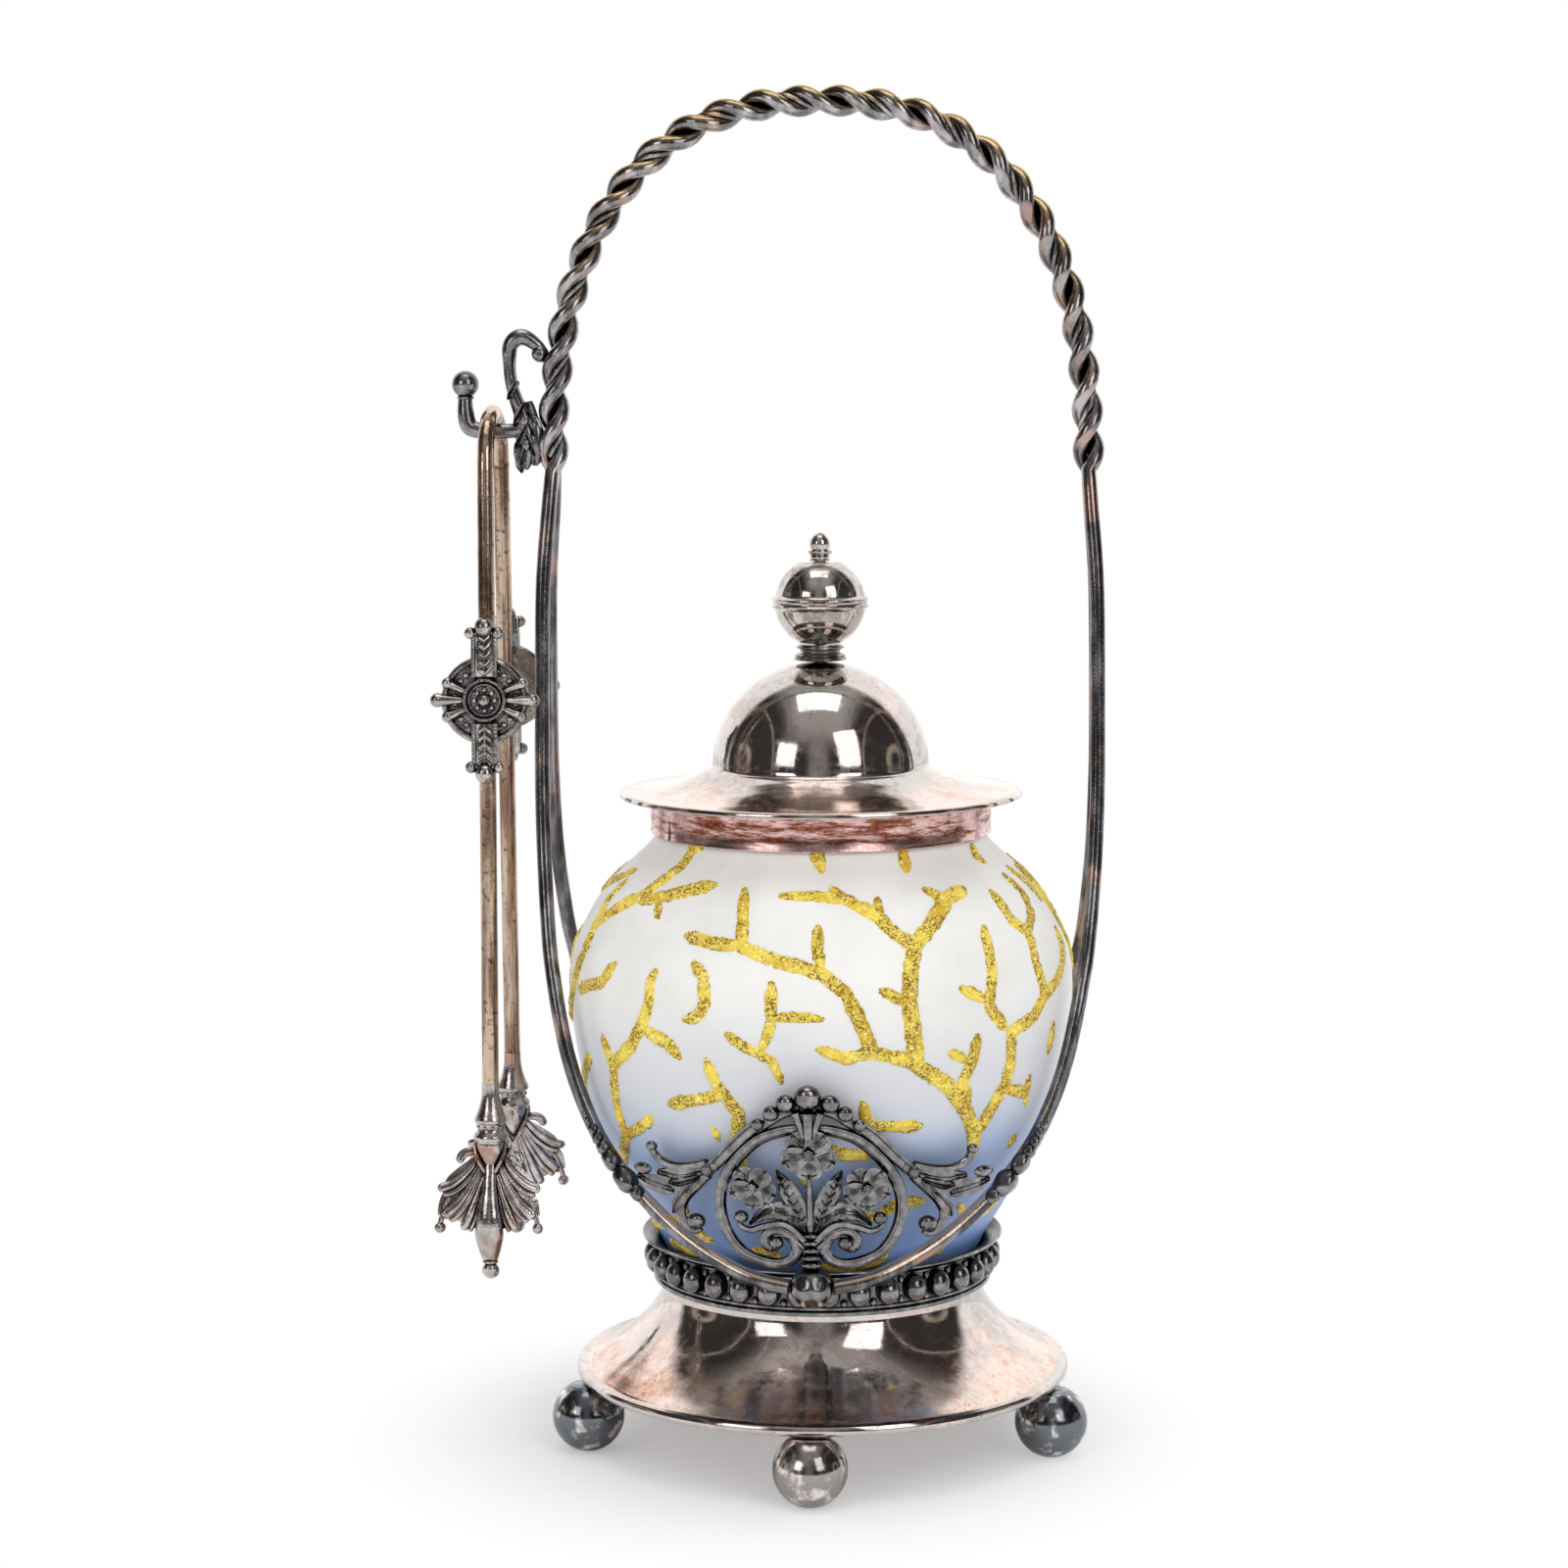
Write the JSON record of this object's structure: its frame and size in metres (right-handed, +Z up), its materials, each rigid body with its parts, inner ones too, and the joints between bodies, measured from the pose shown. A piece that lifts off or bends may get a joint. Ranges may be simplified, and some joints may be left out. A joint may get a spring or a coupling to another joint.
{
  "type": "pickle castor",
  "caption": "Plated table stand with ball feet and a twisted bail handle, holding a lidded satin glass jar, with tongs hung on a side hook.",
  "frame": {"origin": "on the table, below the middle of the whole object's outline seen from above; the stand's own axis is 10.5 mm to +X", "axes": "+Z up, the front with the flower ornament faces -Y, the tongs hang on the -X side"},
  "size_m": [0.143, 0.1202, 0.2924],
  "materials": {
    "silver_plate": "polished silver plate, rubbed through to copper in places",
    "dark_cast_plate": "cast and plated, tarnished dark with bright high spots",
    "bail_wire": "tarnished plated wire, brassy where the hand has rubbed it",
    "copper_rubbed_plate": "plate worn to pink copper",
    "bronzed_wire": "tarnished wire, brown with bright rubs",
    "cast_claw": "cast, fluted, tarnished",
    "satin_art_glass": "opaque satin glass, white shading to blue, with raised yellow branching decoration",
    "brass_fixings": "plain brass thread and nut"
  },
  "bodies": {
    "stand": {"base_shell": "silver_plate", "ball_foot_1": "dark_cast_plate", "ball_foot_2": "dark_cast_plate", "ball_foot_3": "dark_cast_plate", "ball_foot_4": "dark_cast_plate", "ball_foot_5": "dark_cast_plate", "gallery_ring": "dark_cast_plate", "gallery_beads": "dark_cast_plate", "boss_front": "dark_cast_plate", "boss_back": "dark_cast_plate", "bail_rod_front": "bail_wire", "bail_rod_back": "bail_wire", "ornament_front": "dark_cast_plate", "ornament_back": "dark_cast_plate", "hook_bracket": "dark_cast_plate"},
    "jar": {"jar": "satin_art_glass"},
    "lid": {"lid_shell": "silver_plate", "lid_collar": "copper_rubbed_plate", "finial_neck": "silver_plate", "finial_ball": "silver_plate", "finial_tip": "silver_plate", "finial_stud": "brass_fixings", "finial_nut": "brass_fixings"},
    "tongs": {"tong_bow": "bronzed_wire"},
    "near_arm": {"tong_arm_near": "bronzed_wire", "tong_ferrule_near": "cast_claw", "tong_claw_near": "cast_claw", "tong_medallion_near": "dark_cast_plate"},
    "far_arm": {"tong_arm_far": "bronzed_wire", "tong_ferrule_far": "cast_claw", "tong_claw_far": "cast_claw", "tong_medallion_far": "dark_cast_plate"}
  },
  "joints": [
    {"name": "jar_lift", "type": "slide", "parent": "stand", "child": "jar", "axis": [0, 0, 1], "range_m": [0, 0.055]},
    {"name": "lid_lift", "type": "slide", "parent": "jar", "child": "lid", "axis": [0, 0, 1], "range_m": [0, 0.03]},
    {"name": "tongs_lift", "type": "slide", "parent": "stand", "child": "tongs", "axis": [0, 0, 1], "range_m": [0, 0.04]},
    {"name": "near_squeeze", "type": "hinge", "parent": "tongs", "child": "near_arm", "pos_m": [-0.05983, -0.0122, 0.21133], "axis": [1, 0, 0], "range_deg": [0, 4.5], "stiffness_Nm_per_rad": 2},
    {"name": "far_squeeze", "type": "hinge", "parent": "tongs", "child": "far_arm", "pos_m": [-0.05983, 0.0122, 0.21133], "axis": [-1, 0, 0], "range_deg": [0, 4.5], "stiffness_Nm_per_rad": 2}
  ],
  "couplings": [
    {"joint": "far_squeeze", "follows": "near_squeeze", "ratio": 1}
  ]
}
